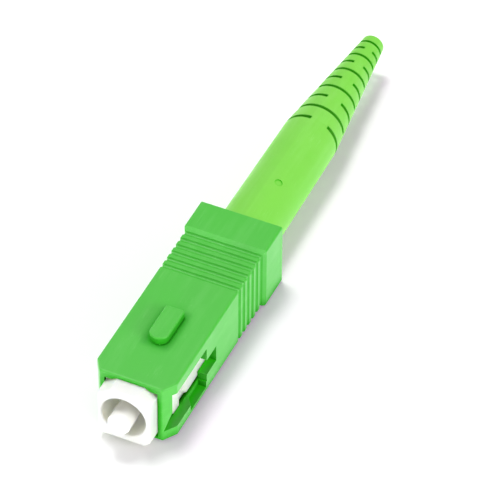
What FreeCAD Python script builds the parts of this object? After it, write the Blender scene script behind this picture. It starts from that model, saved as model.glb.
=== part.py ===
"""Push-pull fibre plug with a 2.5 mm angled ferrule, drawn about its fibre axis.

Drawing frame: X across the plug, Z up through the key, Y along the fibre from
the sliding housing's front face (Y = 0) towards the boot. Every piece is drawn
there and then placed so that the origin is the middle of the plug's footprint.
"""

import FreeCAD, Part
import os
import math

import Sketcher
from FreeCAD import Placement, Rotation, Vector

doc = FreeCAD.newDocument("fibre_plug")
sheet = doc.addObject("Spreadsheet::Sheet", "Sheet")

SIZES = {
    # outer housing, the sliding grip
    "housing_length": 26.7,
    "body_width": 9.0,
    "body_height": 7.4,
    "block_flare": 0.5,
    "block_length": 4.5,
    "block_ramp": 0.5,
    "edge_round": 0.25,
    "bevel_inset": 1.0,
    "bevel_reach": 1.5,
    "groove_count": 6,
    "groove_pitch": 1.08,
    "groove_lead": 0.33,
    "groove_round": 0.4,
    "groove_depth": 0.18,
    "key_width": 2.15,
    "key_length": 4.9,
    "key_height": 0.85,
    "key_setback": 5.75,
    "key_corner": 0.3,
    "key_edge": 0.12,
    "lip_wall": 0.5,
    "channel_height": 5.8,
    "channel_tail": 0.6,
    "slide_gap": 0.06,
    "slide_travel": 2.0,
    # side windows of the housing, heights above and below the fibre axis
    "window_start": 1.0,
    "window_step": 8.5,
    "window_top": 2.4,
    "window_floor": 2.35,
    "post_foot": 0.1,
    "slot_length": 2.3,
    "slot_top": 0.7,
    "slot_floor": 1.42,
    "pocket_floor": 3.1,
    "pocket_wall": 3.6,
    "pocket_front": 4.6,
    "pocket_ramp": 1.3,
    "pocket_ledge": 0.15,
    # plug frame, the white inner frame
    "frame_width": 5.85,
    "frame_height": 6.5,
    "frame_nose": 1.85,
    "frame_length": 19.05,
    "frame_rear_height": 5.8,
    "frame_step": 11.0,
    "frame_chamfer": 0.62,
    "shoulder_width": 1.4,
    "shoulder_drop": 0.85,
    "frame_edge": 0.25,
    "mouth_diameter": 5.0,
    "mouth_depth": 5.25,
    "mouth_chamfer": 0.1,
    "web": 0.8,
    "neck_diameter": 3.7,
    "rear_bore": 4.8,
    "rail_stand": 0.45,
    "latch_height": 4.7,
    "latch_start": 2.6,
    "latch_length": 1.55,
    "latch_ramp": 0.3,
    "bar_height": 4.1,
    "bar_start": 5.5,
    "bar_end": 10.7,
    "catch_height": 3.2,
    "catch_lead": 0.1,
    "snap_width": 2.6,
    "snap_length": 1.6,
    "snap_setback": 2.9,
    # ferrule and the flange that holds it
    "ferrule_diameter": 2.499,
    "ferrule_length": 10.5,
    "ferrule_exposed": 7.7,
    "ferrule_chamfer": 0.3,
    "ferrule_rear_chamfer": 0.15,
    "polish_angle": 8.0,
    "polish_share": 0.1,
    "glue_groove_width": 0.6,
    "glue_groove_depth": 0.18,
    "glue_groove_lead": 0.05,
    "fibre_bore": 0.126,
    "funnel_diameter": 0.95,
    "funnel_length": 0.9,
    "collar_diameter": 4.6,
    "collar_length": 2.2,
    "collar_chamfer": 0.25,
    "keyway_width": 0.9,
    "keyway_depth": 0.45,
    "key_gap": 0.08,
    "key_root": 0.1,
    "tail_diameter": 2.9,
    "tail_length": 8.0,
    # guide tube
    "tube_diameter": 1.6,
    "tube_bore": 0.95,
    "tube_length": 14.0,
    # spring
    "wire_diameter": 0.45,
    "spring_diameter": 4.3,
    "spring_coils": 6.5,
    "spring_space": 5.8,
    # stop ring, the rear body
    "nose_gap": 0.04,
    "tail_gap": 0.1,
    "tail_room": 3.4,
    "stop_collar_diameter": 5.7,
    "stop_collar_length": 1.2,
    "post_diameter": 3.6,
    "post_length": 6.2,
    "post_bore": 2.0,
    "post_rings": 4,
    "post_ring_pitch": 1.2,
    "post_ring_depth": 0.18,
    "snap_gap": 0.1,
    "lug_root": 0.45,
    # crimp sleeve
    "sleeve_wall": 0.4,
    "sleeve_length": 6.5,
    "sleeve_neck_diameter": 3.0,
    "sleeve_neck_bore": 2.1,
    "sleeve_neck_length": 3.5,
    # boot
    "boot_gap": 0.15,
    "boot_root_diameter": 5.6,
    "boot_diameter": 6.72,
    "boot_waist_diameter": 6.36,
    "boot_tip_diameter": 2.5,
    "boot_root_length": 7.5,
    "boot_grip_length": 18.5,
    "boot_cone_length": 17.45,
    "boot_bore": 1.3,
    "boot_bore_taper": 4.5,
    "boot_tip_round": 0.3,
    "boot_shoulder": 0.3,
    "slit_rows": 10,
    "slit_width": 0.42,
    "slit_first_step": 2.3,
    "slit_ratio": 0.935,
    "slit_span": 142.0,
    "slit_margin": 0.3,
    "boot_turn": 20.5,
    "gate_setback": 10.9,
    "gate_diameter": 0.9,
    "gate_depth": 0.12,
    "boot_clearance": 0.19,
}

for row, (alias, value) in enumerate(SIZES.items(), start=1):
    sheet.set(f"A{row}", alias)
    sheet.set(f"B{row}", str(value))
    sheet.setAlias(f"B{row}", alias)
doc.recompute()

# Stations and sizes worked out from the sheet, as expressions.
block_width = "(Sheet.body_width + Sheet.block_flare)"
block_height = "(Sheet.body_height + Sheet.block_flare)"
block_front = "(Sheet.housing_length - Sheet.block_length)"
last_groove = f"({block_front} - Sheet.groove_lead)"
frame_rear = "(Sheet.frame_length - Sheet.frame_nose)"
web_front = "(Sheet.mouth_depth - Sheet.frame_nose)"
flange_front = f"({web_front} + Sheet.web)"
flange_rear = f"({flange_front} + Sheet.collar_length)"
tail_end = f"({flange_rear} + Sheet.tail_length)"
ferrule_tip = f"({flange_front} - Sheet.ferrule_exposed)"
ferrule_end = f"({ferrule_tip} + Sheet.ferrule_length)"
spring_end = f"({flange_rear} + Sheet.spring_space)"
collar_rear = f"({frame_rear} + Sheet.stop_collar_length)"
post_end = f"({collar_rear} + Sheet.post_length)"
boot_start = f"({collar_rear} + Sheet.boot_gap)"
boot_shoulder = f"({boot_start} + Sheet.boot_root_length)"
boot_waist = f"({boot_shoulder} + Sheet.boot_grip_length)"
boot_tip = f"({boot_waist} + Sheet.boot_cone_length)"
channel_wall = "(Sheet.frame_width / 2 + Sheet.rail_stand + Sheet.slide_gap)"
passage_wall = "(Sheet.frame_width / 2 + Sheet.slide_gap)"
slot_end = "(Sheet.window_step + Sheet.slot_length)"
sleeve_diameter = "(Sheet.post_diameter + 2 * Sheet.sleeve_wall)"
snap_front = f"({frame_rear} - Sheet.snap_setback)"
centre_y = f"(({boot_tip} + {ferrule_tip}) / 2)"
axis_height = f"({block_height} / 2)"


def value(expression):
    """The number that an expression of the sheet's sizes gives."""
    result = sheet.evalExpression(str(expression))
    return float(getattr(result, "Value", result))


def new_body(name):
    """An empty body, placed from the drawing frame into the part's frame."""
    body = doc.addObject("PartDesign::Body", name)
    body.Label = name
    body.setExpression(".Placement.Base.y", f"-{centre_y}")
    body.setExpression(".Placement.Base.z", axis_height)
    return body


def origin_plane(body, role):
    return next(f for f in body.Origin.OriginFeatures if f.Role == role)


def new_sketch(body, name, plane, offset="0", turn="0"):
    """A sketch on an origin plane, moved along the plane's normal and turned about Y.

    Sketch axes: XY gives (x, y), XZ gives (x, z), YZ gives (y, z).
    """
    sketch = body.newObject("Sketcher::SketchObject", name)
    sketch.AttachmentSupport = [(origin_plane(body, plane + "_Plane"), "")]
    sketch.MapMode = "FlatFace"
    if offset != "0":
        sign = "-" if plane == "XZ" else ""
        sketch.setExpression(".AttachmentOffset.Base.z", f"{sign}({offset})")
    if turn != "0":
        sketch.AttachmentOffset = Placement(Vector(), Rotation(Vector(1, 0, 0), 0.0))
        sketch.setExpression(".AttachmentOffset.Rotation.Angle", turn)
    return sketch


def hold_point(sketch, geometry, point, across, along):
    """Ties a sketch point to the sheet: its distances from the sketch's origin."""
    for kind, expression in (("DistanceX", across), ("DistanceY", along)):
        index = sketch.addConstraint(
            Sketcher.Constraint(kind, -1, 1, geometry, point, value(expression))
        )
        sketch.setExpression(f"Constraints[{index}]", str(expression))


def add_outline(sketch, corners):
    """A closed outline of straight lines through corners given as expressions."""
    points = [Vector(value(a), value(b), 0) for a, b in corners]
    count = len(points)
    first = sketch.GeometryCount
    for i in range(count):
        sketch.addGeometry(Part.LineSegment(points[i], points[(i + 1) % count]), False)
    for i in range(count):
        after = first + (i + 1) % count
        sketch.addConstraint(Sketcher.Constraint("Coincident", first + i, 2, after, 1))
    for i, (across, along) in enumerate(corners):
        hold_point(sketch, first + i, 1, across, along)


def add_circle(sketch, across, along, radius):
    centre = Vector(value(across), value(along), 0)
    circle = sketch.addGeometry(Part.Circle(centre, Vector(0, 0, 1), value(radius)), False)
    hold_point(sketch, circle, 3, across, along)
    index = sketch.addConstraint(Sketcher.Constraint("Radius", circle, value(radius)))
    sketch.setExpression(f"Constraints[{index}]", str(radius))


def box_corners(low_a, high_a, low_b, high_b):
    return [(low_a, low_b), (high_a, low_b), (high_a, high_b), (low_a, high_b)]


def centred(width, height):
    return box_corners(f"-({width}) / 2", f"({width}) / 2", f"-({height}) / 2", f"({height}) / 2")


def chamfered(width, height, cut):
    """A centred rectangle with its four corners cut off."""
    w, t, c = f"({width}) / 2", f"({height}) / 2", f"({cut})"
    return [
        (f"-{w} + {c}", f"-{t}"), (f"{w} - {c}", f"-{t}"), (f"{w}", f"-{t} + {c}"),
        (f"{w}", f"{t} - {c}"), (f"{w} - {c}", f"{t}"), (f"-{w} + {c}", f"{t}"),
        (f"-{w}", f"{t} - {c}"), (f"-{w}", f"-{t} + {c}"),
    ]


def shouldered(side, top, feet):
    """The frame's outline: the lower corners as given, large cuts at the upper ones."""
    inner, drop = f"({side} - Sheet.shoulder_width)", f"({top} - Sheet.shoulder_drop)"
    return feet + [(side, drop), (inner, top), (f"-{inner}", top), (f"-{side}", drop)]


def extrude(kind, body, sketch, length, middle=False, reverse=False):
    """A Pad or a Pocket of a sketch; the length is an expression."""
    feature = body.newObject(f"PartDesign::{kind}", f"{sketch.Name}_{kind.lower()}")
    feature.Profile = sketch
    feature.setExpression("Length", str(length))
    feature.Midplane = middle
    feature.Reversed = reverse
    doc.recompute()
    return feature


def pad_along(body, name, start, length, corners):
    """A pad along +Y from a station, of an outline in X and Z."""
    sketch = new_sketch(body, name, "XZ", offset=start)
    add_outline(sketch, corners)
    return extrude("Pad", body, sketch, length, reverse=True)


def cut_along(body, name, start, length, corners):
    """A pocket along +Y from a station, of an outline in X and Z."""
    sketch = new_sketch(body, name, "XZ", offset=start)
    add_outline(sketch, corners)
    return extrude("Pocket", body, sketch, length)


def cut_across(body, name, plane, width, *outlines):
    """A pocket through the middle plane, of outlines in the XY or the YZ plane."""
    sketch = new_sketch(body, name, plane)
    for corners in outlines:
        add_outline(sketch, corners)
    return extrude("Pocket", body, sketch, width, middle=True)


def turn_profile(body, name, profile, kind="Revolution"):
    """A turned shape about the fibre axis, from (station, radius) points."""
    sketch = new_sketch(body, name, "YZ")
    add_outline(sketch, profile)
    feature = body.newObject(f"PartDesign::{kind}", f"{name}_turned")
    feature.Profile = sketch
    feature.ReferenceAxis = (sketch, ["H_Axis"])
    feature.Angle = 360
    doc.recompute()
    return feature


def dress(kind, body, base, size, wanted):
    """A Fillet or Chamfer on the edges of base that the test picks."""
    names = [f"Edge{i}" for i, e in enumerate(base.Shape.Edges, start=1) if wanted(e)]
    feature = body.newObject(f"PartDesign::{kind}", f"{base.Name}_{kind.lower()}")
    feature.Base = (base, names)
    feature.setExpression("Radius" if kind == "Fillet" else "Size", size)
    doc.recompute()
    return feature


def runs_along_y(edge):
    ends = [v.Point for v in edge.Vertexes]
    if len(ends) != 2:
        return False
    step = ends[1] - ends[0]
    return abs(step.x) < 1e-6 and abs(step.z) < 1e-6


def lies_at(edge, axis, place, reach=1e-4):
    return all(abs(getattr(v.Point, axis) - place) < reach for v in edge.Vertexes)


def pattern_along(body, features, pitch, count, backwards=False):
    """Copies of features in a row along Y."""
    pattern = body.newObject("PartDesign::LinearPattern", f"{features[0].Name}_row")
    pattern.Originals = features
    pattern.Direction = (origin_plane(body, "Y_Axis"), [""])
    pattern.Reversed = backwards
    pattern.Mode = "Spacing"
    pattern.setExpression("Offset", pitch)
    pattern.setExpression("Occurrences", count)
    body.Tip = pattern
    doc.recompute()
    return pattern


def build_outer_housing():
    body = new_body("outer_housing")
    # grip: a box with its two front corners bevelled in plan, round on all edges but the rear ones
    edge, top = "Sheet.body_width / 2", "Sheet.body_height / 2"
    inner, rear = f"({edge} - Sheet.bevel_inset)", "Sheet.housing_length"
    plan = new_sketch(body, "grip_plan", "XY")
    add_outline(plan, [
        (f"-{inner}", "0"), (inner, "0"), (edge, "Sheet.bevel_reach"), (edge, rear),
        (f"-{edge}", rear), (f"-{edge}", "Sheet.bevel_reach")])
    shell = extrude("Pad", body, plan, "Sheet.body_height", middle=True)
    end = value(rear)
    dress("Fillet", body, shell, "Sheet.edge_round", lambda e: not lies_at(e, "y", end))

    block = pad_along(body, "block", block_front, "Sheet.block_length",
                      centred(block_width, block_height))
    half = value(f"{block_width} / 2")
    outer = lambda e: runs_along_y(e) and abs(abs(e.Vertexes[0].X) - half) < 1e-4
    dress("Fillet", body, block, "Sheet.edge_round", outer)
    # the block rises from the grip on a ramp on all four sides
    flare, far = "Sheet.block_flare", f"{block_front} + 2 * Sheet.block_ramp"
    for name, plane, face in (("side_ramps", "XY", edge), ("face_ramps", "YZ", top)):
        wedges = []
        for sign in ("", "-"):
            wedge = [(f"{sign}({face})", block_front), (f"{sign}({face} + {flare})", block_front),
                     (f"{sign}({face} + {flare})", far)]
            wedges.append(wedge if plane == "XY" else [(y, z) for z, y in wedge])
        cut_across(body, name, plane, f"2 * {block_width}", *wedges)

    # grip grooves: round channels in all four sides, in a row towards the front
    rise = "(Sheet.groove_round - Sheet.groove_depth)"
    flanks = new_sketch(body, "flank_grooves", "XY")
    faces = new_sketch(body, "face_grooves", "YZ")
    for sign in ("", "-"):
        add_circle(flanks, f"{sign}({edge} + {rise})", last_groove, "Sheet.groove_round")
        add_circle(faces, last_groove, f"{sign}({top} + {rise})", "Sheet.groove_round")
    cuts = [
        extrude("Pocket", body, flanks, f"2 * {block_height}", middle=True),
        extrude("Pocket", body, faces, f"2 * {block_width}", middle=True),
    ]
    pattern_along(body, cuts, "Sheet.groove_pitch", "Sheet.groove_count", backwards=True)

    # key on the top face, round in front and square behind
    nose_y = "(Sheet.key_setback + Sheet.key_width / 2)"
    bar = new_sketch(body, "key_bar", "XY")
    add_outline(bar, box_corners("-Sheet.key_width / 2", "Sheet.key_width / 2", nose_y,
                                 "Sheet.key_setback + Sheet.key_length"))
    key = extrude("Pad", body, bar, f"{top} + Sheet.key_height")
    behind = value("Sheet.key_setback + Sheet.key_length")
    upright = lambda e: lies_at(e, "y", behind) and abs(e.BoundBox.ZLength) > 0.1
    key = dress("Fillet", body, key, "Sheet.key_corner", upright)
    nose = new_sketch(body, "key_nose", "XY")
    add_circle(nose, "0", nose_y, "Sheet.key_width / 2")
    key = extrude("Pad", body, nose, f"{top} + Sheet.key_height")
    crown = value(f"{top} + Sheet.key_height")
    dress("Chamfer", body, key, "Sheet.key_edge", lambda e: lies_at(e, "z", crown))

    # passage for the plug frame, its rails' channels, and the boot's counterbore
    roof = "(Sheet.frame_height / 2 + Sheet.slide_gap)"
    feet = [(f"-{passage_wall}", f"-{roof}"), (passage_wall, f"-{roof}")]
    cut_along(body, "front_passage", "0", "Sheet.frame_step + Sheet.slide_gap",
              shouldered(passage_wall, roof, feet))
    cut_along(body, "rear_passage", "0", "Sheet.housing_length",
              centred(f"2 * {passage_wall}", "Sheet.frame_rear_height + 2 * Sheet.slide_gap"))
    cut_along(body, "rail_channels", "Sheet.lip_wall",
              f"{slot_end} + Sheet.channel_tail - Sheet.lip_wall",
              centred(f"2 * {channel_wall}", "Sheet.channel_height"))
    well = new_sketch(body, "boot_well", "XZ", offset="Sheet.housing_length")
    add_circle(well, "0", "0", "Sheet.boot_diameter / 2 + Sheet.boot_clearance")
    extrude("Pocket", body, well, f"Sheet.housing_length - {boot_shoulder} + Sheet.slide_travel"
            " + Sheet.boot_clearance", reverse=True)

    # side windows: a tall opening, a narrower slot behind it and a front post
    # whose foot tapers away towards the lip
    low, high = "-Sheet.window_floor", "Sheet.window_top"
    window = [
        ("Sheet.window_start", high), ("Sheet.window_start", "-Sheet.post_foot"),
        ("Sheet.post_foot", low), ("Sheet.window_step", low),
        ("Sheet.window_step", "-Sheet.slot_floor"), (slot_end, "-Sheet.slot_floor"),
        (slot_end, "Sheet.slot_top"), ("Sheet.window_step", "Sheet.slot_top"),
        ("Sheet.window_step", high),
    ]
    cut_across(body, "side_windows", "YZ", f"2 * {block_width}", window)

    # deep pockets under the windows, with a slanted ramp in front
    back = "(Sheet.window_step - Sheet.pocket_ledge)"
    pockets = [
        [(f"{sign}Sheet.pocket_wall", "Sheet.pocket_front + Sheet.pocket_ramp"),
         (f"{sign}{edge}", "Sheet.pocket_front"), (f"{sign}2 * {edge}", "Sheet.pocket_front"),
         (f"{sign}2 * {edge}", back), (f"{sign}Sheet.pocket_wall", back)]
        for sign in ("", "-")
    ]
    floor = new_sketch(body, "window_pockets", "XY", offset="-Sheet.pocket_floor")
    for corners in pockets:
        add_outline(floor, corners)
    extrude("Pocket", body, floor, "Sheet.pocket_floor", reverse=True)
    return body


def build_plug_frame():
    body = new_body("plug_frame")
    front, cut = "-Sheet.frame_nose", "Sheet.frame_chamfer"
    side, top = "(Sheet.frame_width / 2)", "(Sheet.frame_height / 2)"
    feet = [(f"-{side}", f"-{top} + {cut}"), (f"-{side} + {cut}", f"-{top}"),
            (f"{side} - {cut}", f"-{top}"), (side, f"-{top} + {cut}")]
    block = pad_along(body, "frame_head", front, "Sheet.frame_step + Sheet.frame_nose",
                      shouldered(side, top, feet))
    face = value(front)
    dress("Fillet", body, block, "Sheet.frame_edge", lambda e: lies_at(e, "y", face))
    pad_along(body, "frame_rear", "Sheet.frame_step", f"{frame_rear} - Sheet.frame_step",
              chamfered("Sheet.frame_width", "Sheet.frame_rear_height", "Sheet.frame_chamfer"))

    # on both sides a latch block in front and a long, lower bar behind it
    out = f"({side} + Sheet.rail_stand)"
    latch_end = "(Sheet.latch_start + Sheet.latch_length)"
    ramp = "Sheet.latch_ramp"
    latches = new_sketch(body, "latch_blocks", "XY")
    bars = new_sketch(body, "side_bars", "XY")
    for sign in ("", "-"):
        add_outline(latches, [
            (f"{sign}{side} / 2", "Sheet.latch_start"),
            (f"{sign}({out} - {ramp})", "Sheet.latch_start"),
            (f"{sign}{out}", f"Sheet.latch_start + {ramp}"), (f"{sign}{out}", latch_end),
            (f"{sign}{side} / 2", latch_end)])
        add_outline(bars, [
            (f"{sign}{side} / 2", "Sheet.bar_start"), (f"{sign}{side}", "Sheet.bar_start"),
            (f"{sign}{out}", "Sheet.bar_start + Sheet.rail_stand"),
            (f"{sign}{out}", "Sheet.bar_end"), (f"{sign}{side} / 2", "Sheet.bar_end")])
    extrude("Pad", body, latches, "Sheet.latch_height", middle=True)
    extrude("Pad", body, bars, "Sheet.bar_height", middle=True)

    turn_profile(body, "bores", [
        (front, "0"), (front, "Sheet.mouth_diameter / 2 + Sheet.mouth_chamfer"),
        (f"{front} + Sheet.mouth_chamfer", "Sheet.mouth_diameter / 2"),
        (web_front, "Sheet.mouth_diameter / 2"), (web_front, "Sheet.neck_diameter / 2"),
        (flange_front, "Sheet.neck_diameter / 2"), (flange_front, "Sheet.rear_bore / 2"),
        (frame_rear, "Sheet.rear_bore / 2"), (frame_rear, "0")], "Groove")

    # two keys that hold the flange from turning
    key_half = "(Sheet.keyway_width / 2 - Sheet.key_gap)"
    key_foot = "(Sheet.collar_diameter / 2 - Sheet.keyway_depth + Sheet.key_gap)"
    key_top = "(Sheet.rear_bore / 2 + Sheet.key_root)"
    keys = [
        box_corners(f"-{key_half}", key_half, f"{sign}{key_foot}", f"{sign}{key_top}")
        for sign in ("", "-")
    ]
    sketch = new_sketch(body, "flange_keys", "XZ", offset=flange_front)
    for corners in keys:
        add_outline(sketch, corners)
    extrude("Pad", body, sketch, "Sheet.collar_length - Sheet.key_gap", reverse=True)

    # catch windows in the sides, snap windows above and below
    cut_across(body, "catch_windows", "YZ", "2 * Sheet.frame_width",
               box_corners(flange_front, "Sheet.bar_start - Sheet.catch_lead",
                           "-Sheet.catch_height / 2", "Sheet.catch_height / 2"))
    cut_across(body, "snap_windows", "XY", "2 * Sheet.frame_height",
               box_corners("-Sheet.snap_width / 2", "Sheet.snap_width / 2", snap_front,
                           f"{snap_front} + Sheet.snap_length"))
    return body


def build_ferrule():
    body = new_body("ferrule")
    radius, bore = "Sheet.ferrule_diameter / 2", "Sheet.fibre_bore / 2"
    cut, rear_cut = "Sheet.ferrule_chamfer", "Sheet.ferrule_rear_chamfer"
    groove = f"({flange_front} - Sheet.glue_groove_lead)"
    groove_end = f"({groove} + Sheet.glue_groove_width)"
    floor = f"({radius} - Sheet.glue_groove_depth)"
    turn_profile(body, "rod", [
        (ferrule_tip, bore), (ferrule_tip, f"{radius} - {cut}"),
        (f"{ferrule_tip} + 2 * {cut}", radius),
        (groove, radius), (groove, floor), (groove_end, floor), (groove_end, radius),
        (f"{ferrule_end} - {rear_cut}", radius), (ferrule_end, f"{radius} - {rear_cut}"),
        (ferrule_end, "Sheet.funnel_diameter / 2"),
        (f"{ferrule_end} - Sheet.funnel_length", bore)])
    # the polished end leans 8 degrees to the side, so two plugs with their keys up meet flat
    lean = "(Sheet.ferrule_diameter * tan(Sheet.polish_angle))"
    low = f"{ferrule_tip} - {lean} * Sheet.polish_share"
    wedge = new_sketch(body, "angled_polish", "XY")
    add_outline(wedge, [
        (f"-{radius}", f"{ferrule_tip} - {lean}"), (radius, f"{ferrule_tip} - {lean}"),
        (radius, f"{low} + {lean}"), (f"-{radius}", low)])
    extrude("Pocket", body, wedge, "2 * Sheet.ferrule_diameter", middle=True)
    return body


def build_ferrule_flange():
    body = new_body("ferrule_flange")
    collar, tail = "Sheet.collar_diameter / 2", "Sheet.tail_diameter / 2"
    grip, bore = "Sheet.ferrule_diameter / 2", "Sheet.tube_diameter / 2"
    cut = "Sheet.collar_chamfer"
    turn_profile(body, "holder", [
        (flange_front, grip), (flange_front, f"{collar} - {cut}"),
        (f"{flange_front} + {cut}", collar), (flange_rear, collar), (flange_rear, tail),
        (f"{tail_end} - {cut}", tail), (tail_end, f"{tail} - {cut}"), (tail_end, bore),
        (ferrule_end, bore), (ferrule_end, grip)])
    keyways = new_sketch(body, "keyways", "XZ", offset=flange_front)
    for sign in ("", "-"):
        add_outline(keyways, box_corners(
            "-Sheet.keyway_width / 2", "Sheet.keyway_width / 2",
            f"{sign}({collar} - Sheet.keyway_depth)", f"{sign}2 * {collar}"))
    extrude("Pocket", body, keyways, "Sheet.collar_length")
    return body


def build_guide_tube():
    body = new_body("guide_tube")
    outer, inner = "Sheet.tube_diameter / 2", "Sheet.tube_bore / 2"
    end = f"({ferrule_end} + Sheet.tube_length)"
    turn_profile(body, "tube", box_corners(ferrule_end, end, inner, outer))
    return body


WIRE_SIDES = 8  # the coiled wire is drawn with flats, to keep its faces few


def build_spring():
    """Wire coiled between the flange's collar and the stop ring."""
    wire = value("Sheet.wire_diameter") / 2
    radius = value("Sheet.spring_diameter") / 2 - wire
    start, end = value(flange_rear) + wire, value(spring_end) - wire
    pitch = (end - start) / value("Sheet.spring_coils")
    helix = Part.makeHelix(pitch, end - start, radius)
    corners = []
    for i in range(WIRE_SIDES + 1):
        angle = 2 * math.pi * i / WIRE_SIDES
        corners.append(Vector(radius + wire * math.cos(angle), 0, wire * math.sin(angle)))
    section = Part.makePolygon(corners)
    coil = Part.Wire(helix).makePipeShell([section], True, True)
    coil.rotate(Vector(), Vector(1, 0, 0), -90)
    coil.translate(Vector(0, start - value(centre_y), value(axis_height)))
    spring = doc.addObject("Part::Feature", "spring")
    spring.Label = "spring"
    spring.Shape = coil
    return spring


def build_stop_ring():
    body = new_body("stop_ring")
    nose = "(Sheet.rear_bore / 2 - Sheet.nose_gap)"
    collar, post = "Sheet.stop_collar_diameter / 2", "Sheet.post_diameter / 2"
    room, bore = "(Sheet.tail_diameter / 2 + Sheet.tail_gap)", "Sheet.post_bore / 2"
    room_end = f"({spring_end} + Sheet.tail_room)"
    turn_profile(body, "turned_body", [
        (spring_end, room), (spring_end, nose), (frame_rear, nose), (frame_rear, collar),
        (collar_rear, collar), (collar_rear, post), (post_end, post), (post_end, bore),
        (f"{room_end} + {room} - {bore}", bore), (room_end, room)])
    # snap lugs above and below
    lug = "(Sheet.snap_width / 2 - Sheet.snap_gap)"
    top = "(Sheet.frame_rear_height / 2 - Sheet.snap_gap)"
    lugs = new_sketch(body, "snap_lugs", "XZ", offset=f"{snap_front} + Sheet.snap_gap")
    for sign in ("", "-"):
        add_outline(lugs, box_corners(
            f"-{lug}", lug, f"{sign}({nose} - Sheet.lug_root)", f"{sign}{top}"))
    extrude("Pad", body, lugs, "Sheet.snap_length - 2 * Sheet.snap_gap", reverse=True)
    # gripping rings round the post
    first = f"({post_end} - Sheet.post_ring_pitch)"
    depth = "Sheet.post_ring_depth"
    ring = turn_profile(body, "post_ring", [
        (f"{first} - {depth}", post), (first, f"{post} - {depth}"), (f"{first} + {depth}", post)],
        "Groove")
    pattern_along(body, [ring], "Sheet.post_ring_pitch", "Sheet.post_rings", backwards=True)
    return body


def build_crimp_sleeve():
    body = new_body("crimp_sleeve")
    bore, outer = "Sheet.post_diameter / 2", f"{sleeve_diameter} / 2"
    neck, neck_bore = "Sheet.sleeve_neck_diameter / 2", "Sheet.sleeve_neck_bore / 2"
    start = f"({collar_rear} + Sheet.boot_gap)"
    shoulder = f"({start} + Sheet.sleeve_length)"
    end = f"({shoulder} + Sheet.sleeve_neck_length)"
    turn_profile(body, "sleeve", [
        (start, bore), (start, outer), (f"{shoulder} - ({outer} - {neck})", outer),
        (shoulder, neck), (end, neck), (end, neck_bore), (shoulder, neck_bore),
        (f"{shoulder} - ({bore} - {neck_bore})", bore)])
    return body


def build_boot():
    body = new_body("boot")
    root, grip = "Sheet.boot_root_diameter / 2", "Sheet.boot_diameter / 2"
    waist, tip = "Sheet.boot_waist_diameter / 2", "Sheet.boot_tip_diameter / 2"
    socket, bore = f"{sleeve_diameter} / 2", "Sheet.boot_bore / 2"
    socket_end = (f"({boot_start} + Sheet.sleeve_length + Sheet.sleeve_neck_length"
                  " + Sheet.boot_gap)")
    hull = turn_profile(body, "boot_outline", [
        (boot_start, socket), (boot_start, root), (boot_shoulder, root),
        (f"{boot_shoulder} + Sheet.boot_shoulder", grip), (boot_waist, waist), (boot_tip, tip),
        (boot_tip, bore), (f"{socket_end} + Sheet.boot_bore_taper", bore), (socket_end, socket)])
    rim = value(boot_tip)
    outer = value(tip)
    is_rim = lambda e: lies_at(e, "y", rim) and e.BoundBox.ZLength > 1.5 * outer
    dress("Fillet", body, hull, "Sheet.boot_tip_round", is_rim)

    # flex slits: two opposite slits a row, each row a quarter turn from the last,
    # rows closer and slits finer towards the tip
    cone = f"(({waist} - {tip}) / Sheet.boot_cone_length)"
    rows = int(value("Sheet.slit_rows"))
    for row in range(rows):
        step = f"(1 - pow(Sheet.slit_ratio; {row})) / (1 - Sheet.slit_ratio)"
        station = f"({boot_waist} + Sheet.slit_first_step * {step})"
        half = f"(Sheet.slit_width * pow(Sheet.slit_ratio; {row / 2}) / 2)"
        sketch = new_sketch(body, f"slit_{row + 1}", "YZ",
                            turn=f"Sheet.boot_turn + {90 * ((row + 1) % 2)}")
        for sign in ("", "-"):
            add_outline(sketch, box_corners(
                f"{station} - {half}", f"{station} + {half}",
                f"{sign}({bore} - Sheet.slit_margin)", f"{sign}({grip} + Sheet.slit_margin)"))
        slit = body.newObject("PartDesign::Groove", f"slit_{row + 1}_cut")
        slit.Profile = sketch
        slit.ReferenceAxis = (sketch, ["H_Axis"])
        slit.setExpression("Angle", "Sheet.slit_span")
        slit.Midplane = True
        doc.recompute()

    # moulding gate: a shallow round dimple, in line with the slits of the even rows
    gate = new_sketch(body, "gate", "XY")
    gate.AttachmentOffset = Placement(Vector(), Rotation(Vector(0, 1, 0), 0.0))
    gate.setExpression(".AttachmentOffset.Rotation.Angle", "Sheet.boot_turn")
    gate.setExpression(".AttachmentOffset.Base.x", f"{grip} * sin(Sheet.boot_turn)")
    gate.setExpression(".AttachmentOffset.Base.z", f"{grip} * cos(Sheet.boot_turn)")
    add_circle(gate, "0", f"{boot_waist} - Sheet.gate_setback", "Sheet.gate_diameter / 2")
    sunk = f"({grip} - {waist}) * Sheet.gate_setback / Sheet.boot_grip_length"
    extrude("Pocket", body, gate, f"{grip} - {waist} - {sunk} + Sheet.gate_depth")
    return body


BUILDERS = (
    build_outer_housing, build_plug_frame, build_ferrule, build_ferrule_flange,
    build_guide_tube, build_spring, build_stop_ring, build_crimp_sleeve, build_boot,
)


def check_and_write(pieces):
    """Stops on a failed feature or a bad solid, then writes one file a piece."""
    doc.recompute()
    for item in doc.Objects:
        bad = {"Invalid", "Error"} & set(item.State)
        if bad:
            raise RuntimeError(f"{item.Name}: {sorted(bad)}")
    for piece in pieces:
        shape = piece.Shape
        if shape.isNull() or not shape.isValid() or not shape.Solids:
            raise RuntimeError(f"{piece.Label} has no valid solid")
    os.makedirs("parts", exist_ok=True)
    for piece in pieces:
        piece.Shape.exportStep(f"parts/{piece.Label}.step")
        box = piece.Shape.BoundBox
        print(f"{piece.Label}: {len(piece.Shape.Solids)} solid, volume {piece.Shape.Volume:.2f},"
              f" Y {box.YMin:.3f} to {box.YMax:.3f}, Z {box.ZMin:.3f} to {box.ZMax:.3f}")


check_and_write([build() for build in BUILDERS])
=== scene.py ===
import math

import bpy
from mathutils import Matrix, Vector


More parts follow.
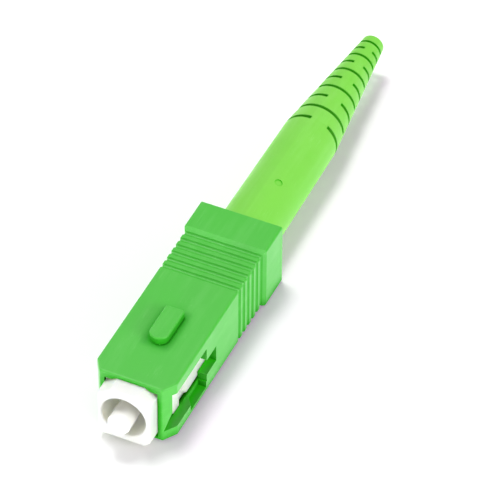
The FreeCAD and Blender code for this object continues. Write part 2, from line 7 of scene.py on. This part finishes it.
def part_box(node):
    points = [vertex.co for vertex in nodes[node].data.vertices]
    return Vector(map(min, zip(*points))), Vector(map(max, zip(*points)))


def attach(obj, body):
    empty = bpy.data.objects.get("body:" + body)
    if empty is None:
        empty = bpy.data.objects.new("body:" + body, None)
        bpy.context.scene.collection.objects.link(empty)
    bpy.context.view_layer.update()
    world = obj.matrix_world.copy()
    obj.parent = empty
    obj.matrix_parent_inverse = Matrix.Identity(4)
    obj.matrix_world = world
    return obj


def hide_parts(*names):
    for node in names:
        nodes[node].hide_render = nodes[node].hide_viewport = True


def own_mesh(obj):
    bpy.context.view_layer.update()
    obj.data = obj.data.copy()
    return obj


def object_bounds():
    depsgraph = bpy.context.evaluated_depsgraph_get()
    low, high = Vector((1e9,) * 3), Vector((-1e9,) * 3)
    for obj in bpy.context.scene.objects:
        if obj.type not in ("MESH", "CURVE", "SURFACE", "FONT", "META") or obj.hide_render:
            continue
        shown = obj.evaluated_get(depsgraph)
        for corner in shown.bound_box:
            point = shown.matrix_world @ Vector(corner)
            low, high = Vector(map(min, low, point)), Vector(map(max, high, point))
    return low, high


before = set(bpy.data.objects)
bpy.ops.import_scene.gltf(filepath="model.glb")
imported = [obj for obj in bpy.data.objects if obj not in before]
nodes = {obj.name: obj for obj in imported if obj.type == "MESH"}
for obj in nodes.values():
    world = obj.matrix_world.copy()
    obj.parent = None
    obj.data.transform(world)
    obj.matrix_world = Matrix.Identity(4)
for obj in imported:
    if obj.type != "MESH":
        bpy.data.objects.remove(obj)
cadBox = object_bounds()
print("frame loaded:", ", ".join(sorted(nodes)))

mm = 0.001
gripLow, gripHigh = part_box("outer_housing")
gripMiddle = (gripLow + gripHigh) / 2


cameraSettings = {
    "azimuth": 24.356,      # degrees from the plug's own axis
    "elevation": 43.845,
    "roll": 0.483,
    "distance": 405.8 * mm,
    "focalLength": 285.4,   # for the sensor width below
    "sensorWidth": 36,
    "clipStart": 10 * mm,
    "clipEnd": 10,
    "aimAside": 5.34 * mm,  # aim point from the middle of the grip
    "aimAlong": 3.79 * mm,
    "aimAbove": 8.9 * mm,
}


def addCamera(settings):
    azimuth = math.radians(settings["azimuth"])
    elevation = math.radians(settings["elevation"])
    away = Vector((
        math.sin(azimuth) * math.cos(elevation),
        -math.cos(azimuth) * math.cos(elevation),
        math.sin(elevation),
    ))
    aim = gripMiddle + Vector((settings["aimAside"], settings["aimAlong"], settings["aimAbove"]))
    camera = bpy.data.objects.new("camera", bpy.data.cameras.new("camera"))
    camera.data.lens = settings["focalLength"]
    camera.data.sensor_width = settings["sensorWidth"]
    camera.data.clip_start = settings["clipStart"]
    camera.data.clip_end = settings["clipEnd"]
    turn = away.to_track_quat("Z", "Y").to_matrix().to_4x4()
    roll = Matrix.Rotation(math.radians(settings["roll"]), 4, "Z")
    camera.matrix_world = Matrix.Translation(aim + away * settings["distance"]) @ turn @ roll
    bpy.context.scene.collection.objects.link(camera)
    bpy.context.scene.camera = camera


addCamera(cameraSettings)
print("camera set")


def addNode(tree, kind, inputs=None, **settings):
    node = tree.nodes.new(kind)
    for name, value in settings.items():
        setattr(node, name, value)
    for socket, value in (inputs or {}).items():
        if isinstance(value, bpy.types.NodeSocket):
            tree.links.new(value, node.inputs[socket])
        else:
            node.inputs[socket].default_value = value
    return node


def calc(tree, operation, first, second=0.0, clamp=False):
    return addNode(tree, "ShaderNodeMath", {0: first, 1: second},
                   operation=operation, use_clamp=clamp).outputs[0]


def remap(tree, value, low, high, newLow=0.0, newHigh=1.0, smooth=True):
    node = addNode(tree, "ShaderNodeMapRange", {
        "Value": value, "From Min": low, "From Max": high, "To Min": newLow, "To Max": newHigh,
    }, interpolation_type="SMOOTHSTEP" if smooth else "LINEAR")
    return node.outputs[0]


def blendColour(tree, factor, first, second, mode="MIX"):
    node = addNode(tree, "ShaderNodeMix", data_type="RGBA", blend_type=mode)
    for index, value in ((0, factor), (6, first), (7, second)):
        if isinstance(value, bpy.types.NodeSocket):
            tree.links.new(value, node.inputs[index])
        else:
            node.inputs[index].default_value = value
    return node.outputs[2]


def objectPlace(tree, stretch=(1, 1, 1)):
    place = addNode(tree, "ShaderNodeTexCoord").outputs["Object"]
    if tuple(stretch) == (1, 1, 1):
        return place
    return addNode(tree, "ShaderNodeMapping", {"Vector": place, "Scale": stretch}).outputs[0]


def placeParts(tree):
    return addNode(tree, "ShaderNodeSeparateXYZ", {0: objectPlace(tree)}).outputs


def faceUp(tree):
    # how far a face looks up: 1 for a level top
    normal = addNode(tree, "ShaderNodeNewGeometry").outputs["Normal"]
    return addNode(tree, "ShaderNodeSeparateXYZ", {0: normal}).outputs["Z"]


def noise(tree, place, scale, detail=3.0, roughness=0.5):
    return addNode(tree, "ShaderNodeTexNoise", {
        "Vector": place, "Scale": scale, "Detail": detail, "Roughness": roughness,
    }).outputs[0]


def newGroup(name, inputs, outputs):
    group = bpy.data.node_groups.new(name, "ShaderNodeTree")
    for label, value in inputs.items():
        socket = group.interface.new_socket(label, in_out="INPUT", socket_type="NodeSocketFloat")
        socket.default_value = value
    for label in outputs:
        group.interface.new_socket(label, in_out="OUTPUT", socket_type="NodeSocketFloat")
    start = group.nodes.new("NodeGroupInput")
    end = group.nodes.new("NodeGroupOutput")
    return group, start.outputs, end.inputs


def useGroup(tree, group, **values):
    node = tree.nodes.new("ShaderNodeGroup")
    node.node_tree = group
    for label, value in values.items():
        node.inputs[label].default_value = value
    return node.outputs


def makeEdgeCloseness():
    # how near a place is to an edge: the rounded normal leaves the true one, broken up by noise. The metals
    # take it as rubbed edges, the grip as wear with a painted highlight line, the boot as painted shade
    # along its slit lips
    inputs = {"Width": 0.08 * mm, "Strength": 4.0, "Breakup": 0.5}
    group, given, result = newGroup("edgeCloseness", inputs, ["Mask"])
    rounded = addNode(group, "ShaderNodeBevel", {"Radius": given["Width"]}, samples=6).outputs[0]
    true = addNode(group, "ShaderNodeNewGeometry").outputs["Normal"]
    along = addNode(group, "ShaderNodeVectorMath", {0: rounded, 1: true}, operation="DOT_PRODUCT")
    leaning = calc(group, "SUBTRACT", 1.0, along.outputs["Value"])
    edge = calc(group, "MULTIPLY", leaning, given["Strength"], clamp=True)
    blotches = noise(group, objectPlace(group), scale=900.0, detail=4.0, roughness=0.6)
    patchy = remap(group, blotches, low=0.35, high=0.65)
    kept = calc(group, "SUBTRACT", 1.0, calc(group, "MULTIPLY", given["Breakup"], patchy))
    group.links.new(calc(group, "MULTIPLY", edge, kept, clamp=True), result["Mask"])
    return group


def makeRecess():
    # how closed-in a point is: 0 in the open, 1 deep in a groove or window
    group, given, result = newGroup("recess", {"Reach": 1.2 * mm, "Gain": 1.0}, ["Mask"])
    openness = addNode(group, "ShaderNodeAmbientOcclusion", {"Distance": given["Reach"]}, samples=8)
    hidden = calc(group, "SUBTRACT", 1.0, openness.outputs["AO"])
    closed = calc(group, "MULTIPLY", hidden, given["Gain"], clamp=True)
    group.links.new(closed, result["Mask"])
    return group


def makeMouldSkin():
    # moulded plastic: fine spark-eroded grain, slow mottling and a few flow streaks along the part
    inputs = {"Grain": 9000.0, "Mottle": 160.0}
    group, given, result = newGroup("mouldSkin", inputs, ["Height", "Tone", "Streak"])
    place = objectPlace(group)
    grain = noise(group, place, given["Grain"], detail=4.0, roughness=0.62)
    pitScale = calc(group, "MULTIPLY", given["Grain"], 0.6)
    pits = addNode(group, "ShaderNodeTexVoronoi", {"Vector": place, "Scale": pitScale}, feature="SMOOTH_F1")
    grainShare = calc(group, "MULTIPLY", grain, 0.7)
    pitShare = calc(group, "MULTIPLY", pits.outputs["Distance"], 0.3)
    group.links.new(calc(group, "ADD", grainShare, pitShare), result["Height"])
    mottle = noise(group, place, given["Mottle"], detail=5.0, roughness=0.55)
    group.links.new(remap(group, mottle, low=0.3, high=0.7), result["Tone"])
    streak = noise(group, objectPlace(group, (1, 0.12, 1)), scale=700.0, detail=3.0, roughness=0.6)
    group.links.new(remap(group, streak, low=0.45, high=0.75), result["Streak"])
    return group


def makeDust():
    # a thin film and specks of dust on what faces up
    group, given, result = newGroup("dust", {"Amount": 0.5}, ["Mask"])
    facing = remap(group, faceUp(group), low=0.2, high=0.9)
    specks = addNode(group, "ShaderNodeTexVoronoi", {"Vector": objectPlace(group), "Scale": 1500.0},
                     feature="F1").outputs["Distance"]
    dots = remap(group, specks, low=0.10, high=0.04)
    clusters = noise(group, objectPlace(group), scale=420.0, detail=2.0)
    some = remap(group, clusters, low=0.52, high=0.6)
    film = calc(group, "MULTIPLY", noise(group, objectPlace(group), scale=90.0), 0.25)
    mask = calc(group, "ADD", calc(group, "MULTIPLY", dots, some), film)
    mask = calc(group, "MULTIPLY", calc(group, "MULTIPLY", mask, facing), given["Amount"], clamp=True)
    group.links.new(mask, result["Mask"])
    return group


def makeHairScratches():
    # hairline scratches that run mostly along the plug, where it slides in and out
    group, given, result = newGroup("hairScratches", {"Density": 0.5}, ["Mask"])
    lines = None
    for turn, scale in ((4.0, 2600.0), (-9.0, 1900.0), (31.0, 1300.0)):
        place = addNode(group, "ShaderNodeMapping", {
            "Vector": objectPlace(group),
            "Rotation": (0.15, 0.2, math.radians(turn)),
            "Scale": (1, 0.035, 1),
        }).outputs[0]
        fine = noise(group, place, scale, detail=1.0, roughness=0.4)
        ridge = calc(group, "ABSOLUTE", calc(group, "SUBTRACT", fine, 0.5))
        line = remap(group, ridge, low=0.012, high=0.0)
        lines = line if lines is None else calc(group, "MAXIMUM", lines, line)
    patches = noise(group, objectPlace(group), scale=350.0, detail=2.0)
    gate = remap(group, patches, low=0.5, high=0.66)
    mask = calc(group, "MULTIPLY", calc(group, "MULTIPLY", lines, gate), given["Density"], clamp=True)
    group.links.new(mask, result["Mask"])
    return group


def makeLatheLines():
    # turned or drawn metal: rings across the fibre axis, uneven in depth
    group, given, result = newGroup("latheLines", {"Pitch": 9000.0}, ["Height", "Tone"])
    place = objectPlace(group, (0.02, 1, 0.02))
    rings = noise(group, place, given["Pitch"], roughness=0.7)
    group.links.new(rings, result["Height"])
    tone = noise(group, objectPlace(group), scale=600.0, detail=4.0, roughness=0.6)
    group.links.new(remap(group, tone, low=0.3, high=0.7), result["Tone"])
    return group


edgeCloseness = makeEdgeCloseness()
recess = makeRecess()
mouldSkin = makeMouldSkin()
dust = makeDust()
hairScratches = makeHairScratches()
latheLines = makeLatheLines()
print("shared effects made")


def rgba(colour):
    return (*colour, 1.0)


def newMaterial(name):
    material = bpy.data.materials.new(name)
    material.use_nodes = True
    tree = material.node_tree
    tree.nodes.clear()
    shader = tree.nodes.new("ShaderNodeBsdfPrincipled")
    output = tree.nodes.new("ShaderNodeOutputMaterial")
    tree.links.new(shader.outputs[0], output.inputs["Surface"])
    return material, tree, shader


def setConstants(shader, values):
    for label, value in values.items():
        shader.inputs[label].default_value = value


def addRelief(tree, shader, height, depth, strength=1.0):
    bump = addNode(tree, "ShaderNodeBump", {"Height": height, "Distance": depth, "Strength": strength})
    tree.links.new(bump.outputs[0], shader.inputs["Normal"])


gripPlastic = {
    "base": (0.058, 0.500, 0.034),
    "deep": (0.046, 0.460, 0.025),    # slow darker mottling
    "recessShading": (0.010, 0.330, 0.003),  # painted shade in grooves and windows
    "edge": (0.210, 0.720, 0.165),    # along the edges: wear, and a painted highlight line
    "rubbed": (0.220, 0.700, 0.180),  # scratches and flow streaks
    "dustColour": (0.62, 0.66, 0.58),
    "roughness": 0.42,
    "gloss": 0.50,
    "grain": 7000.0,
    "grainDepth": 0.006 * mm,
    "edgeShare": 0.42,
    "edgeWidth": 0.12 * mm,
    "edgeStrength": 5.0,
    "edgeBreakup": 0.35,
    "recessReach": 1.6 * mm,
    "recessGain": 1.5,
    "dusty": 0.25,
    "constants": {
        "IOR": 1.50,
        "Subsurface Weight": 0.08,
        "Subsurface Scale": 0.35 * mm,
        "Subsurface Radius": (0.4, 1.0, 0.3),
    },
}

# painted light on the up-facing ledges low in the side windows
paintedLedgeLight = {
    "colour": (0.030, 0.640, 0.004),
    "top": 2.2 * mm,                  # the ledges lie lower than this under the grip's top
    "fade": 0.8 * mm,
}

# painted shade round the foot of the raised key
keyFootShade = {
    "setback": 5.75 * mm,             # from the grip's front to the key
    "length": 4.9 * mm,
    "width": 2.15 * mm,
    "spread": 0.95 * mm,
    "share": 0.80,
}

bootRubber = {
    "base": (0.214, 0.672, 0.068),
    "deep": (0.180, 0.628, 0.047),
    # painted shade in the slits and other hollows
    "recessShading": (0.034, 0.580, 0.001),
    "edge": (0.050, 0.420, 0.004),    # painted shade along the lips of the slits
    "rubbed": (0.380, 0.830, 0.240),
    "dustColour": (0.66, 0.74, 0.55),
    "roughness": 0.50,
    "gloss": 0.32,
    "grain": 5200.0,
    "grainDepth": 0.007 * mm,
    "edgeShare": 0.90,
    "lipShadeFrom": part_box("boot")[1].y - 18.5 * mm,   # the painted shade along the slit lips is kept to the slit tail
    "edgeWidth": 0.17 * mm,
    "edgeStrength": 10.0,
    "edgeBreakup": 0.2,
    "recessReach": 0.5 * mm,
    "recessGain": 1.6,
    "dusty": 0.4,
    "constants": {
        "IOR": 1.47,
        "Subsurface Weight": 0.15,
        "Subsurface Scale": 0.6 * mm,
        "Subsurface Radius": (0.5, 1.0, 0.3),
    },
}

framePlastic = {
    "base": (0.872, 0.874, 0.862),
    "deep": (0.835, 0.835, 0.818),
    # painted light: lighter and warmer in the mouth and other closed-in places
    "recessShading": (0.975, 0.950, 0.820),
    "edge": (0.950, 0.950, 0.945),
    "rubbed": (0.960, 0.960, 0.955),
    "dustColour": (0.74, 0.73, 0.70),
    "roughness": 0.32,
    "gloss": 0.50,
    "grain": 11000.0,
    "grainDepth": 0.003 * mm,
    "edgeShare": 0.45,
    "edgeWidth": 0.07 * mm,
    "edgeStrength": 3.5,
    "edgeBreakup": 0.6,
    "recessReach": 3.0 * mm,
    "recessGain": 1.1,
    "dusty": 0.2,
    "constants": {
        "IOR": 1.52,
        "Coat Weight": 0.15,
        "Coat Roughness": 0.15,
        "Subsurface Weight": 0.75,
        "Subsurface Scale": 1.4 * mm,
        "Subsurface Radius": (1.0, 0.95, 0.80),
    },
}

# how strongly each effect shows on all three plastics
effectShares = {
    "mottle": 0.45,
    "streak": 0.12,
    "scratch": 0.30,
    "dust": 0.40,
    "scratchDensity": 0.45,
    "scratchDepth": 0.5,
    "recessGloss": 0.70,              # gloss lost where a place is closed in
}

# what each effect adds to the roughness of all three plastics
effectRoughness = {
    "mottle": 0.10,
    "wear": -0.12,
    "recess": 0.25,
    "dust": 0.30,
}


def paintLedgeLight(tree, closed, ledgePaint):
    # painted light: the up-facing ledges low in the side windows are painted a lighter green than the rest
    # in there
    height = placeParts(tree)["Z"]
    top = gripHigh.z - ledgePaint["top"]
    low = remap(tree, height, top - ledgePaint["fade"], top, newLow=1.0, newHigh=0.0)
    facing = calc(tree, "MULTIPLY", remap(tree, faceUp(tree), low=0.6, high=0.9), low)
    return calc(tree, "MULTIPLY", facing, remap(tree, closed, low=0.2, high=0.6), clamp=True)


def beyond(tree, distance, half):
    # how far a place lies outside a stretch of this half length about zero
    outside = calc(tree, "SUBTRACT", calc(tree, "ABSOLUTE", distance), half)
    return calc(tree, "MAXIMUM", outside, 0.0)


def paintKeyFootShade(tree, footShade):
    # painted shade round the foot of the raised key, for its soft shadow and its softly rounded root
    place = placeParts(tree)
    fromMiddle = calc(tree, "SUBTRACT", place["Y"], gripLow.y + footShade["setback"] + footShade["length"] / 2)
    aside = beyond(tree, place["X"], footShade["width"] / 2)
    along = beyond(tree, fromMiddle, footShade["length"] / 2)
    squares = calc(tree, "ADD", calc(tree, "POWER", aside, 2.0), calc(tree, "POWER", along, 2.0))
    near = remap(tree, calc(tree, "SQRT", squares), 0.0, footShade["spread"], newLow=1.0, newHigh=0.0)
    keyTop = gripHigh.z - 0.1 * mm
    belowKey = remap(tree, place["Z"], keyTop - 0.2 * mm, keyTop, newLow=1.0, newHigh=0.0)
    onTop = calc(tree, "MULTIPLY", remap(tree, faceUp(tree), low=0.5, high=0.9), belowKey)
    return calc(tree, "MULTIPLY", near, onTop, clamp=True)


def colourPlastic(tree, look, skin, byEdge, closed, dusted, scratched):
    def cover(mask, share, under, over):
        return blendColour(tree, calc(tree, "MULTIPLY", mask, share), under, rgba(over))

    colour = cover(skin["Tone"], effectShares["mottle"], rgba(look["base"]), look["deep"])
    colour = cover(skin["Streak"], effectShares["streak"], colour, look["rubbed"])
    # painted shade where a place is closed in; on the white frame this recess colour is lighter, a painted
    # light
    colour = blendColour(tree, closed, colour, rgba(look["recessShading"]))
    if look is gripPlastic:
        # painted light on the window ledges
        ledgeLight = paintLedgeLight(tree, closed, paintedLedgeLight)
        colour = blendColour(tree, ledgeLight, colour, rgba(paintedLedgeLight["colour"]))
        # painted shade round the foot of the key, in the recess colour
        colour = cover(paintKeyFootShade(tree, keyFootShade), keyFootShade["share"], colour, look["recessShading"])
    # edge colour: wear and a painted highlight on the grip, painted shade along the slit lips on the boot
    colour = cover(byEdge, look["edgeShare"], colour, look["edge"])
    colour = cover(scratched, effectShares["scratch"], colour, look["rubbed"])
    return cover(dusted, effectShares["dust"], colour, look["dustColour"])


def mouldedPlastic(name, look):
    material, tree, shader = newMaterial(name)
    skin = useGroup(tree, mouldSkin, Grain=look["grain"])
    byEdge = useGroup(tree, edgeCloseness, Width=look["edgeWidth"], Strength=look["edgeStrength"],
                    Breakup=look["edgeBreakup"])["Mask"]
    closed = useGroup(tree, recess, Reach=look["recessReach"], Gain=look["recessGain"])["Mask"]
    byEdge = calc(tree, "MULTIPLY", byEdge, calc(tree, "SUBTRACT", 1.0, closed), clamp=True)
    # the boot's painted lip shade is kept to its slit tail
    if "lipShadeFrom" in look:
        tail = remap(tree, placeParts(tree)["Y"], look["lipShadeFrom"] - 1 * mm, look["lipShadeFrom"])
        byEdge = calc(tree, "MULTIPLY", byEdge, tail)
    dusted = useGroup(tree, dust, Amount=look["dusty"])["Mask"]
    scratched = useGroup(tree, hairScratches, Density=effectShares["scratchDensity"])["Mask"]
    colour = colourPlastic(tree, look, skin, byEdge, closed, dusted, scratched)
    tree.links.new(colour, shader.inputs["Base Color"])

    rough = look["roughness"] - effectRoughness["mottle"] / 2
    masks = {"mottle": skin["Tone"], "wear": byEdge, "recess": closed, "dust": dusted}
    for effect, mask in masks.items():
        share = calc(tree, "MULTIPLY", mask, effectRoughness[effect])
        rough = calc(tree, "ADD", rough, share, clamp=effect == "dust")
    tree.links.new(rough, shader.inputs["Roughness"])

    glossLost = calc(tree, "MULTIPLY", closed, effectShares["recessGloss"])
    gloss = calc(tree, "SUBTRACT", look["gloss"], glossLost, clamp=True)
    tree.links.new(gloss, shader.inputs["Specular IOR Level"])

    scores = calc(tree, "MULTIPLY", scratched, effectShares["scratchDepth"])
    addRelief(tree, shader, calc(tree, "SUBTRACT", skin["Height"], scores), look["grainDepth"])
    setConstants(shader, look["constants"])
    return material


ceramicLook = {
    "base": (0.930, 0.925, 0.900),
    "deep": (0.880, 0.872, 0.835),
    "roughness": 0.16,
    "polished": 0.04,
    "grindPitch": 14000.0,
    "grindDepth": 0.0008 * mm,
    "polishLength": 0.45 * mm,
    "polishFade": 0.18 * mm,
    "toneShare": 0.5,
    "toneRoughness": 0.04,
    "recessReach": 0.5 * mm,
    "recessGain": 0.8,
    "constants": {
        "IOR": 1.9,
        "Coat Weight": 0.25,
        "Coat Roughness": 0.05,
        "Subsurface Weight": 0.12,
        "Subsurface Scale": 0.4 * mm,
        "Subsurface Radius": (1.0, 0.95, 0.85),
    },
}


def ceramic(name, look):
    # ground round the outside, polished to a mirror on the leaning end
    material, tree, shader = newMaterial(name)
    lines = useGroup(tree, latheLines, Pitch=look["grindPitch"])
    closed = useGroup(tree, recess, Reach=look["recessReach"], Gain=look["recessGain"])["Mask"]
    tone = calc(tree, "MULTIPLY", lines["Tone"], look["toneShare"])
    colour = blendColour(tree, tone, rgba(look["base"]), rgba(look["deep"]))
    # painted shade: darker where the ferrule is closed in
    colour = blendColour(tree, closed, colour, rgba(look["deep"]))
    tree.links.new(colour, shader.inputs["Base Color"])
    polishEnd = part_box("ferrule")[0].y + look["polishLength"]
    ground = remap(tree, placeParts(tree)["Y"], polishEnd, polishEnd + look["polishFade"])
    rougher = calc(tree, "MULTIPLY", ground, look["roughness"] - look["polished"])
    rough = calc(tree, "ADD", look["polished"], rougher)
    rough = calc(tree, "ADD", rough, calc(tree, "MULTIPLY", lines["Tone"], look["toneRoughness"]))
    tree.links.new(rough, shader.inputs["Roughness"])
    addRelief(tree, shader, calc(tree, "MULTIPLY", lines["Height"], ground), look["grindDepth"])
    setConstants(shader, look["constants"])
    return material


flangeMetal = {"base": (0.62, 0.62, 0.60), "dull": (0.45, 0.45, 0.44), "roughness": 0.28, "pitch": 9000.0}
ringMetal = {"base": (0.68, 0.66, 0.60), "dull": (0.50, 0.48, 0.43), "roughness": 0.30, "pitch": 7000.0}
springSteel = {"base": (0.55, 0.55, 0.54), "dull": (0.36, 0.35, 0.34), "roughness": 0.24, "pitch": 12000.0}
sleeveMetal = {"base": (0.74, 0.74, 0.75), "dull": (0.56, 0.56, 0.57), "roughness": 0.36, "pitch": 6000.0}

# shared by the four metals
metalFinish = {
    "rubbed": (0.85, 0.85, 0.84),
    "lineDepth": 0.002 * mm,
    "toneShare": 0.55,
    "toneRoughness": 0.14,
    "edgeWidth": 0.05 * mm,
    "edgeStrength": 3.0,
    "edgeBreakup": 0.4,
    "wearShare": 0.5,
    "wearRoughness": 0.08,            # taken off where an edge is rubbed
    # painted shade in closed-in places
    "recessReach": 0.6 * mm,
    "recessGain": 0.9,
    "recessShare": 0.7,
    "constants": {"Metallic": 1.0, "Anisotropic": 0.4},
}


def turnedMetal(name, look):
    material, tree, shader = newMaterial(name)
    lines = useGroup(tree, latheLines, Pitch=look["pitch"])
    finish = metalFinish
    byEdge = useGroup(tree, edgeCloseness, Width=finish["edgeWidth"], Strength=finish["edgeStrength"],
                    Breakup=finish["edgeBreakup"])["Mask"]
    closed = useGroup(tree, recess, Reach=finish["recessReach"], Gain=finish["recessGain"])["Mask"]
    tone = calc(tree, "MULTIPLY", lines["Tone"], finish["toneShare"])
    colour = blendColour(tree, tone, rgba(look["base"]), rgba(look["dull"]))
    # painted shade: duller colour where the part is closed in
    recessShade = calc(tree, "MULTIPLY", closed, finish["recessShare"])
    colour = blendColour(tree, recessShade, colour, rgba(look["dull"]))
    brightened = calc(tree, "MULTIPLY", byEdge, finish["wearShare"])
    colour = blendColour(tree, brightened, colour, rgba(finish["rubbed"]))
    tree.links.new(colour, shader.inputs["Base Color"])
    rougher = calc(tree, "MULTIPLY", lines["Tone"], finish["toneRoughness"])
    rough = calc(tree, "ADD", look["roughness"], rougher)
    smoother = calc(tree, "MULTIPLY", byEdge, finish["wearRoughness"])
    rough = calc(tree, "SUBTRACT", rough, smoother, clamp=True)
    tree.links.new(rough, shader.inputs["Roughness"])
    addRelief(tree, shader, lines["Height"], finish["lineDepth"])
    setConstants(shader, finish["constants"])
    return material


tubePlastic = {
    "base": (0.86, 0.86, 0.83),
    "deep": (0.74, 0.74, 0.70),
    "roughness": 0.30,
    "grain": 6000.0,
    "grainDepth": 0.003 * mm,
    "toneShare": 0.6,
    "streakRoughness": 0.12,
    "constants": {
        "IOR": 1.42,
        "Subsurface Weight": 0.35,
        "Subsurface Scale": 0.5 * mm,
        "Subsurface Radius": (1.0, 1.0, 0.9),
    },
}


def milkyTube(name, look):
    material, tree, shader = newMaterial(name)
    skin = useGroup(tree, mouldSkin, Grain=look["grain"])
    tone = calc(tree, "MULTIPLY", skin["Tone"], look["toneShare"])
    colour = blendColour(tree, tone, rgba(look["base"]), rgba(look["deep"]))
    tree.links.new(colour, shader.inputs["Base Color"])
    rougher = calc(tree, "MULTIPLY", skin["Streak"], look["streakRoughness"])
    rough = calc(tree, "ADD", look["roughness"], rougher)
    tree.links.new(rough, shader.inputs["Roughness"])
    addRelief(tree, shader, skin["Height"], look["grainDepth"])
    setConstants(shader, look["constants"])
    return material


def dress(node, material):
    data = nodes[node].data
    data.materials.clear()
    data.materials.append(material)


def dressAll():
    dress("outer_housing", mouldedPlastic("gripPlastic", gripPlastic))
    dress("boot", mouldedPlastic("bootRubber", bootRubber))
    dress("plug_frame", mouldedPlastic("framePlastic", framePlastic))
    dress("ferrule", ceramic("ferruleCeramic", ceramicLook))
    dress("ferrule_flange", turnedMetal("flangeMetal", flangeMetal))
    dress("stop_ring", turnedMetal("ringMetal", ringMetal))
    dress("spring", turnedMetal("springSteel", springSteel))
    dress("crimp_sleeve", turnedMetal("sleeveMetal", sleeveMetal))
    dress("guide_tube", milkyTube("tubePlastic", tubePlastic))


dressAll()
print("materials on all nodes")


def addCoilSpring():
    # a copy of the spring, hung on the core body in place of the spring
    coil = bpy.data.objects.new("coil_spring", nodes["spring"].data.copy())
    bpy.context.scene.collection.objects.link(coil)
    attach(coil, "core")
    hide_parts("spring")
    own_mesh(coil)


addCoilSpring()
print("spring set to follow the ferrule")


stageSettings = {
    "floorSize": 3.0,
    "floorDrop": 0.02 * mm,                # clear of the plug's lowest face
    "floorColour": (0.95, 0.97, 0.95),
    "floorRoughness": 0.3,
    "floorLift": (0.14, 0.115, 0.145),     # added where it is seen
    "paintedShadowTint": (0.135, 0.010, 0.150),   # painted tint to the right of the plug: less green added there, which takes part of the plug's green bounce light out of its shadow
    "besideFrom": 0.5 * mm,
    "besideTo": 9.0 * mm,
    "besideFade": 1.5 * mm,
    "frontFade": 6.0 * mm,
    "floorSheen": 0.95,                    # added where it is mirrored in the plug
    "skySheen": 0.55,                      # the background where it is mirrored in the plug
    "backgroundAmbient": 0.28,
}

# places are from the middle of the grip
lightSettings = {
    "keyLight": {"place": (-0.13, 0.105, 0.57), "size": 0.17, "power": 2.00},
    "backLight": {"place": (-0.40, 0.16, 0.42), "size": 0.20, "power": 0.60},
    "rightSoftbox": {"place": (0.50, -0.10, 0.15), "size": 0.24, "power": 1.65},
    "frontSoftbox": {"place": (-0.08, -0.50, 0.03), "size": 0.055, "power": 1.1},
}


def raysThatSee(tree):
    # the background is white to the eye and in reflections, and gives the object only a plain light
    rays = addNode(tree, "ShaderNodeLightPath").outputs
    mirrored = calc(tree, "MAXIMUM", rays["Is Glossy Ray"], rays["Is Transmission Ray"])
    return rays["Is Camera Ray"], mirrored


def addFloor(settings):
    half = settings["floorSize"] / 2
    mesh = bpy.data.meshes.new("floor")
    down = -settings["floorDrop"]
    corners = [(-half, -half, down), (half, -half, down), (half, half, down), (-half, half, down)]
    mesh.from_pydata(corners, [], [(0, 1, 2, 3)])
    floor = bpy.data.objects.new("floor", mesh)
    bpy.context.scene.collection.objects.link(floor)
    material = bpy.data.materials.new("floorPaper")
    material.use_nodes = True
    tree = material.node_tree
    tree.nodes.clear()
    paper = addNode(tree, "ShaderNodeBsdfDiffuse", {
        "Color": rgba(settings["floorColour"]), "Roughness": settings["floorRoughness"],
    })
    direct, mirrored = raysThatSee(tree)
    place = placeParts(tree)
    near, far, front = settings["besideFrom"], settings["besideTo"], cadBox[0].y
    # painted tint on the floor beside the plug, less green where its shadow falls
    beside = calc(tree, "MULTIPLY", remap(tree, place["X"], near, near + settings["besideFade"]),
                  remap(tree, place["X"], far * 2, far))
    beside = calc(tree, "MULTIPLY", beside, remap(tree, place["Y"], front, front + settings["frontFade"]))
    tint = blendColour(tree, beside, rgba(settings["floorLift"]), rgba(settings["paintedShadowTint"]))
    lift = addNode(tree, "ShaderNodeEmission", {"Color": tint, "Strength": direct})
    sheen = addNode(tree, "ShaderNodeEmission", {
        "Color": (1, 1, 1, 1), "Strength": calc(tree, "MULTIPLY", mirrored, settings["floorSheen"]),
    })
    added = addNode(tree, "ShaderNodeAddShader", {0: lift.outputs[0], 1: sheen.outputs[0]})
    both = addNode(tree, "ShaderNodeAddShader", {0: paper.outputs[0], 1: added.outputs[0]})
    output = tree.nodes.new("ShaderNodeOutputMaterial")
    tree.links.new(both.outputs[0], output.inputs["Surface"])
    mesh.materials.append(material)


def setWorld(settings):
    world = bpy.data.worlds.new("studio")
    bpy.context.scene.world = world
    world.use_nodes = True
    tree = world.node_tree
    tree.nodes.clear()
    direct, mirrored = raysThatSee(tree)
    strength = remap(tree, mirrored, 0.0, 1.0, newLow=settings["backgroundAmbient"],
                     newHigh=settings["skySheen"], smooth=False)
    strength = calc(tree, "MAXIMUM", strength, direct)
    light = addNode(tree, "ShaderNodeBackground", {"Color": (1, 1, 1, 1), "Strength": strength})
    output = tree.nodes.new("ShaderNodeOutputWorld")
    tree.links.new(light.outputs[0], output.inputs["Surface"])


def addLights(settings):
    for name, values in settings.items():
        lamp = bpy.data.lights.new(name, "AREA")
        lamp.shape = "SQUARE"
        lamp.size = values["size"]
        lamp.energy = values["power"]
        light = bpy.data.objects.new(name, lamp)
        place = gripMiddle + Vector(values["place"])
        facing = (place - gripMiddle).to_track_quat("Z", "Y").to_matrix().to_4x4()
        light.matrix_world = Matrix.Translation(place) @ facing
        bpy.context.scene.collection.objects.link(light)


addFloor(stageSettings)
setWorld(stageSettings)
addLights(lightSettings)
bpy.context.scene.view_settings.view_transform = "Standard"
print("floor, background and lights set")
